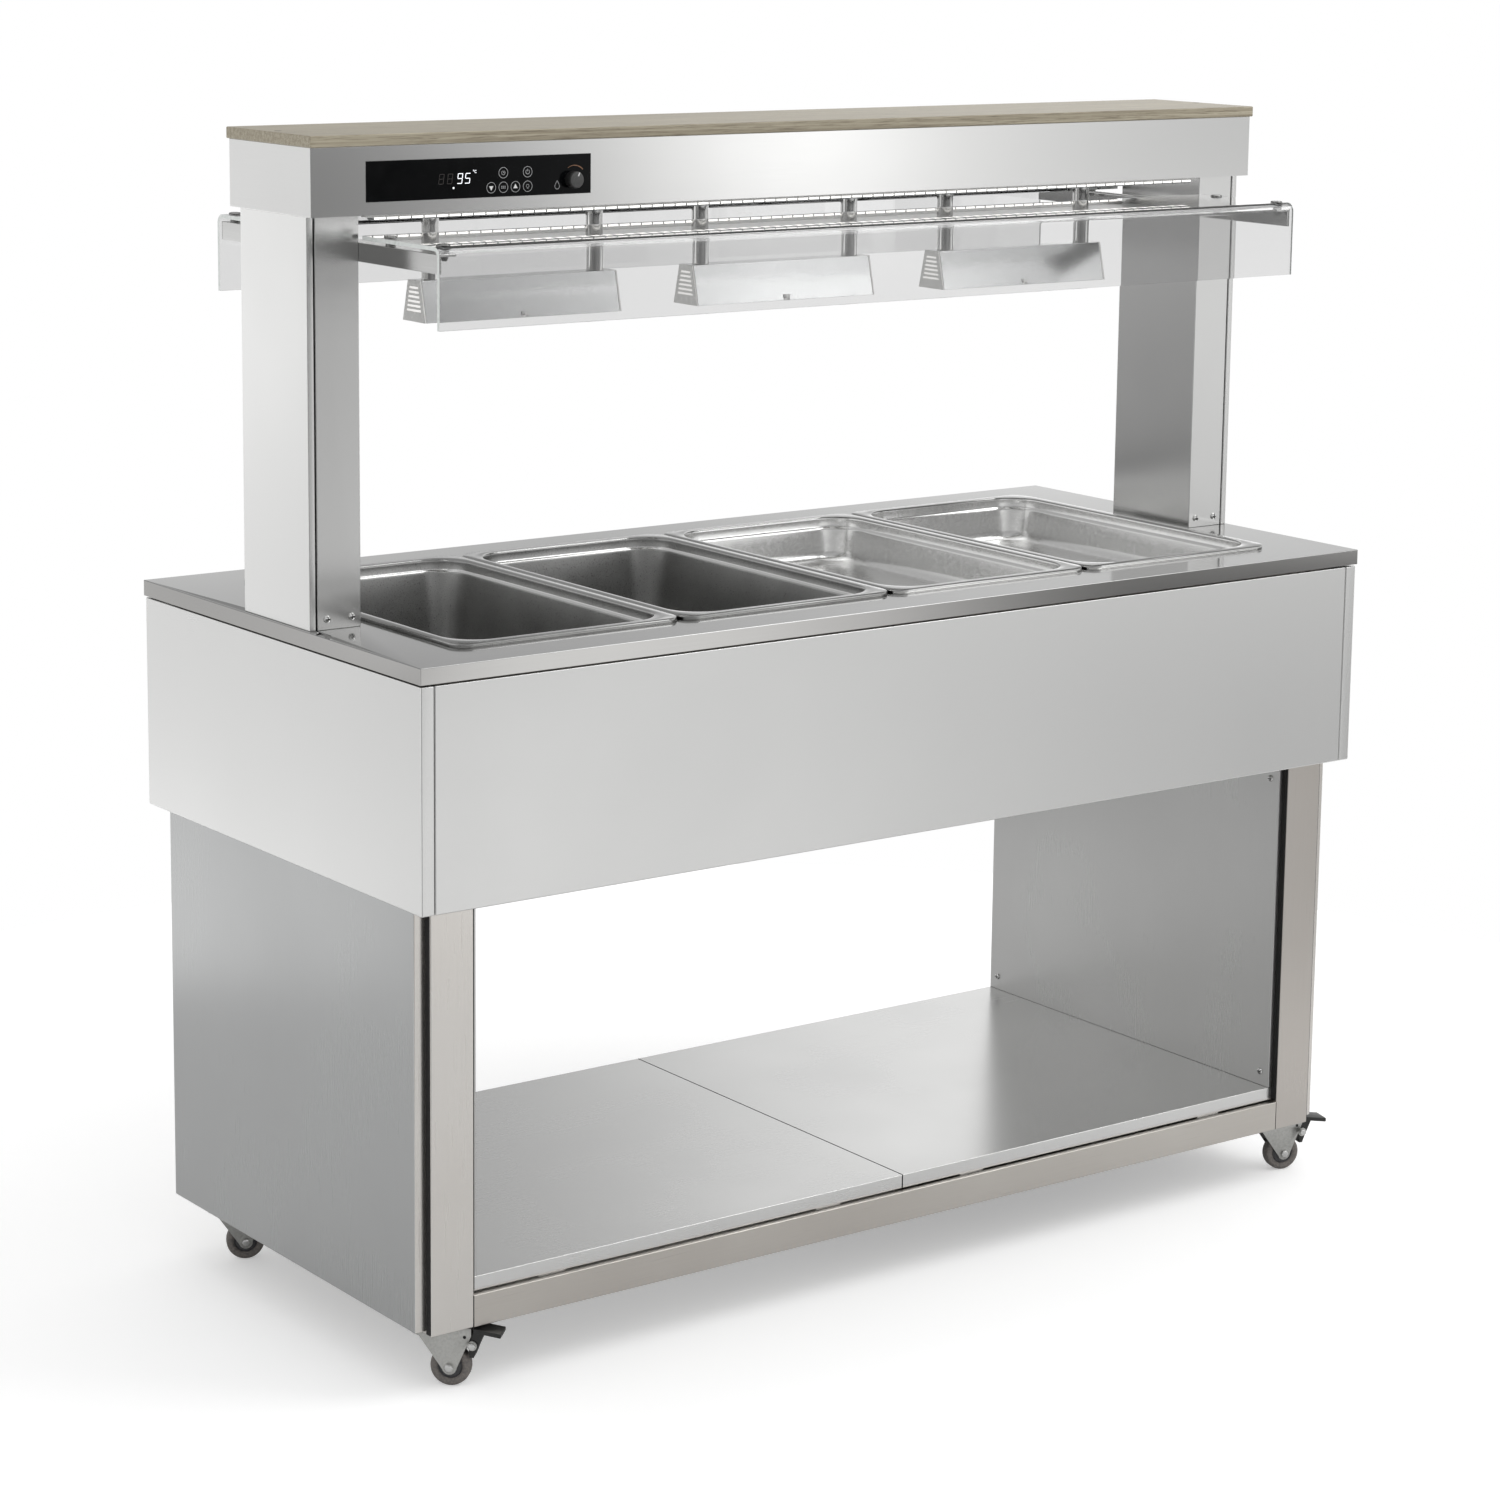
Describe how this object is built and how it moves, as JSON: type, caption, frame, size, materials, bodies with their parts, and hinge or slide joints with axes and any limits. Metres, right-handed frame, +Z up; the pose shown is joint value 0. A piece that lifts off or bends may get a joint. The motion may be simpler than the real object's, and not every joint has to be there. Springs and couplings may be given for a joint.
{
  "type": "heated buffet island",
  "caption": "Heated buffet island on casters with a bain-marie well for food pans, a bridge with heat lamps, lights, glass guards and controls, and an open shelf bay below.",
  "frame": {"origin": "centre of the four casters on the floor, under the middle of the counter", "axes": "+Z up, +X along the counter to the right as seen from the control side, -Y towards the control side (the front)"},
  "size_m": [1.535, 0.68, 1.492],
  "materials": {
    "counter_steel": "satin",
    "frame_steel": "satin",
    "panel_steel": "satin",
    "shelf_steel": "satin",
    "bridge_steel": "satin",
    "pan_steel": "polished",
    "well_steel": "satin",
    "element_steel": "matte",
    "oak_board": "matte",
    "guard_glass": "gloss",
    "screw_steel": "polished",
    "lamp_aluminium": "satin",
    "lamp_caps": "satin",
    "quartz": "gloss",
    "diffuser": "matte",
    "black_glass": "gloss",
    "black_plastic": "matte",
    "caster_zinc": "satin",
    "wheel_rubber": "matte",
    "pedal_plastic": "satin"
  },
  "bodies": {
    "island": {"counter_top": "counter_steel", "well_tank": "well_steel", "well_heater": "element_steel", "drain_outlet": "well_steel", "bottom_cover": "panel_steel", "skirt_front": "panel_steel", "skirt_back": "panel_steel", "skirt_left": "panel_steel", "skirt_right": "panel_steel", "end_panel_left": "panel_steel", "end_panel_right": "panel_steel", "liner_left": "panel_steel", "liner_right": "panel_steel", "post_front_left": "frame_steel", "post_front_right": "frame_steel", "post_back_left": "frame_steel", "post_back_right": "frame_steel", "bottom_rails": "frame_steel", "top_frame": "frame_steel", "shelf_left": "shelf_steel", "shelf_right": "shelf_steel", "upright_left": "bridge_steel", "upright_right": "bridge_steel", "upright_covers": "bridge_steel", "beam_shell": "bridge_steel", "beam_tray": "bridge_steel", "top_board": "oak_board", "guard_glass_front": "guard_glass", "guard_glass_back": "guard_glass", "guard_bars": "frame_steel", "guard_screws": "screw_steel", "lamp_housings": "lamp_aluminium", "lamp_end_caps": "lamp_caps", "lamp_tubes": "quartz", "lamp_stems": "lamp_aluminium", "light_strips": "diffuser", "control_glass": "black_glass", "control_module": "black_plastic", "screws": "screw_steel", "cable_gland": "black_plastic", "caster_plates": "caster_zinc"},
    "knob": {"control_knob": "black_plastic"},
    "pan_1": {"pan_1": "pan_steel"},
    "pan_2": {"pan_2": "pan_steel"},
    "pan_3": {"pan_3": "pan_steel"},
    "pan_4": {"pan_4": "pan_steel"},
    "caster_front_left": {"fork_front_left": "caster_zinc", "axle_front_left": "caster_zinc"},
    "wheel_front_left": {"wheel_front_left": "wheel_rubber"},
    "pedal_front_left": {"pedal_front_left": "pedal_plastic"},
    "caster_front_right": {"fork_front_right": "caster_zinc", "axle_front_right": "caster_zinc"},
    "wheel_front_right": {"wheel_front_right": "wheel_rubber"},
    "pedal_front_right": {"pedal_front_right": "pedal_plastic"},
    "caster_back_left": {"fork_back_left": "caster_zinc", "axle_back_left": "caster_zinc"},
    "wheel_back_left": {"wheel_back_left": "wheel_rubber"},
    "caster_back_right": {"fork_back_right": "caster_zinc", "axle_back_right": "caster_zinc"},
    "wheel_back_right": {"wheel_back_right": "wheel_rubber"}
  },
  "joints": [
    {"name": "knob_turn", "type": "hinge", "parent": "island", "child": "knob", "pos_m": [-0.3855, -0.0995, 1.4291], "axis": [0, -1, 0], "range_deg": [-113, 157]},
    {"name": "pan_1_lift", "type": "slide", "parent": "island", "child": "pan_1", "axis": [0, 0, 1], "range_m": [0, 0.2]},
    {"name": "pan_2_lift", "type": "slide", "parent": "island", "child": "pan_2", "axis": [0, 0, 1], "range_m": [0, 0.2]},
    {"name": "pan_3_lift", "type": "slide", "parent": "island", "child": "pan_3", "axis": [0, 0, 1], "range_m": [0, 0.12]},
    {"name": "pan_4_lift", "type": "slide", "parent": "island", "child": "pan_4", "axis": [0, 0, 1], "range_m": [0, 0.12]},
    {"name": "caster_front_left_swivel", "type": "hinge", "parent": "island", "child": "caster_front_left", "pos_m": [-0.691, -0.257, 0.07], "axis": [0, 0, 1], "continuous": true},
    {"name": "wheel_front_left_spin", "type": "hinge", "parent": "caster_front_left", "child": "wheel_front_left", "pos_m": [-0.6712, -0.2768, 0.025], "axis": [0.7071, 0.7071, 0], "continuous": true},
    {"name": "pedal_front_left_press", "type": "hinge", "parent": "caster_front_left", "child": "pedal_front_left", "pos_m": [-0.6514, -0.2966, 0.054], "axis": [0.7071, 0.7071, 0], "range_deg": [0, 12]},
    {"name": "caster_front_right_swivel", "type": "hinge", "parent": "island", "child": "caster_front_right", "pos_m": [0.691, -0.257, 0.07], "axis": [0, 0, 1], "continuous": true},
    {"name": "wheel_front_right_spin", "type": "hinge", "parent": "caster_front_right", "child": "wheel_front_right", "pos_m": [0.71778, -0.26519, 0.025], "axis": [0.2924, 0.9563, 0], "continuous": true},
    {"name": "pedal_front_right_press", "type": "hinge", "parent": "caster_front_right", "child": "pedal_front_right", "pos_m": [0.74455, -0.27337, 0.054], "axis": [0.2924, 0.9563, 0], "range_deg": [0, 12]},
    {"name": "caster_back_left_swivel", "type": "hinge", "parent": "island", "child": "caster_back_left", "pos_m": [-0.691, 0.257, 0.07], "axis": [0, 0, 1], "continuous": true},
    {"name": "wheel_back_left_spin", "type": "hinge", "parent": "caster_back_left", "child": "wheel_back_left", "pos_m": [-0.66562, 0.24517, 0.025], "axis": [0.4226, 0.9063, 0], "continuous": true},
    {"name": "caster_back_right_swivel", "type": "hinge", "parent": "island", "child": "caster_back_right", "pos_m": [0.691, 0.257, 0.07], "axis": [0, 0, 1], "continuous": true},
    {"name": "wheel_back_right_spin", "type": "hinge", "parent": "caster_back_right", "child": "wheel_back_right", "pos_m": [0.71638, 0.24517, 0.025], "axis": [0.4226, 0.9063, 0], "continuous": true}
  ]
}
